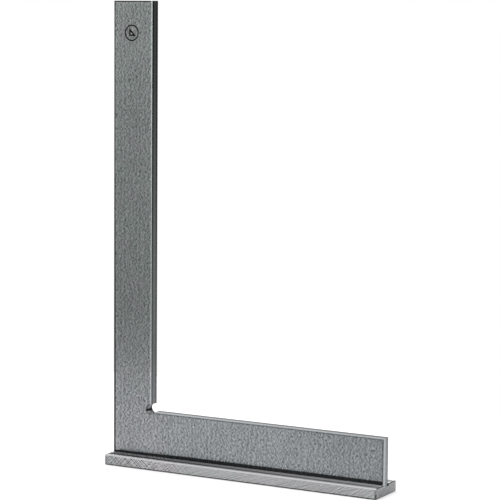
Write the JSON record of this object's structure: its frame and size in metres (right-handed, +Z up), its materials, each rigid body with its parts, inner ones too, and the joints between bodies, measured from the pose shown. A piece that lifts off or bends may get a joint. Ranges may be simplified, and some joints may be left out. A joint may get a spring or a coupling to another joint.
{
  "type": "back square",
  "caption": "Flat L-shaped steel blade standing on a wider rectangular stop bar, used to mark out and check right angles.",
  "frame": {"origin": "middle of the stop bar's flat underside", "axes": "+X along the short arm, from the long leg's side to the arm's free end; +Y out of the blade's rear face; +Z up along the long leg"},
  "size_m": [0.13, 0.019, 0.2],
  "materials": {
    "blade_steel": "satin ground, fine short grain along the long leg",
    "bar_steel": "surface ground, crossing arc marks",
    "screw_steel": "plain turned steel",
    "dowel_steel": "ground"
  },
  "bodies": {
    "root": {"blade": "blade_steel", "stop_bar": "bar_steel", "screw_1": "screw_steel", "screw_2": "screw_steel", "screw_3": "screw_steel", "screw_4": "screw_steel", "dowel_pin_1": "dowel_steel", "dowel_pin_2": "dowel_steel"}
  },
  "joints": []
}
